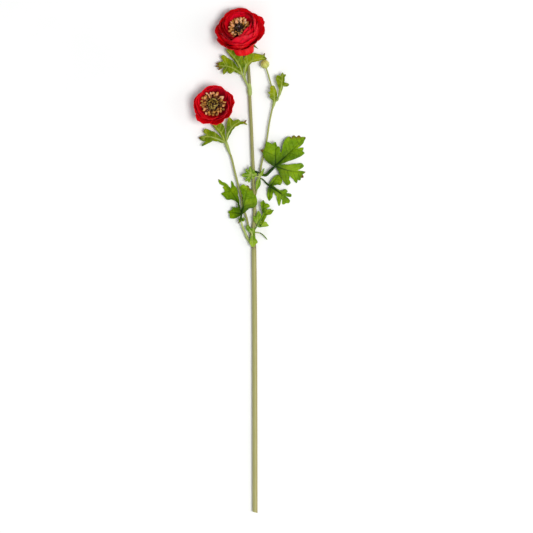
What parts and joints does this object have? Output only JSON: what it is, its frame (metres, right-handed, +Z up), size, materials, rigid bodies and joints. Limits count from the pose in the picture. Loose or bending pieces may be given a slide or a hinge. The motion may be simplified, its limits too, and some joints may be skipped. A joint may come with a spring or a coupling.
{
  "type": "cut persian buttercup spray",
  "caption": "Cut Persian buttercup spray lying down: long forked stem, open layered red blooms with golden stamens round dark centres, a closed bud and deeply cut green leaves.",
  "frame": {"origin": "middle of the spray's footprint on the surface that it lies on", "axes": "+Y along the stem from its cut end towards the large bloom, +Z up from the surface, out of the blooms' open faces, +X towards the bud's side"},
  "size_m": [0.1344, 0.6052, 0.0354],
  "materials": {
    "stem": "satin green skin, khaki olive",
    "leaf": "soft satin, mid green with pale veins",
    "bract": "soft satin, yellow green with pale midribs",
    "petal": "velvety satin, crimson",
    "stamen": "matte, golden tan",
    "carpel": "matte, olive brown with dark pits",
    "bud": "satin, pale yellow green"
  },
  "bodies": {
    "root": {"stem": "stem", "leaf_large_right": "leaf", "leaf_small_right": "leaf", "leaf_centre": "leaf", "leaf_left": "leaf", "leaf_lower_right": "leaf", "leaf_sheath": "leaf", "leaf_edgewise": "leaf", "bracts_large_bloom": "bract", "bracts_small_bloom": "bract", "bracts_bud": "bract", "bud": "bud", "large_bloom_petals": "petal", "large_bloom_stamens": "stamen", "large_bloom_carpels": "carpel", "large_bloom_calyx": "bract", "small_bloom_petals": "petal", "small_bloom_stamens": "stamen", "small_bloom_carpels": "carpel", "small_bloom_calyx": "bract"}
  },
  "joints": []
}
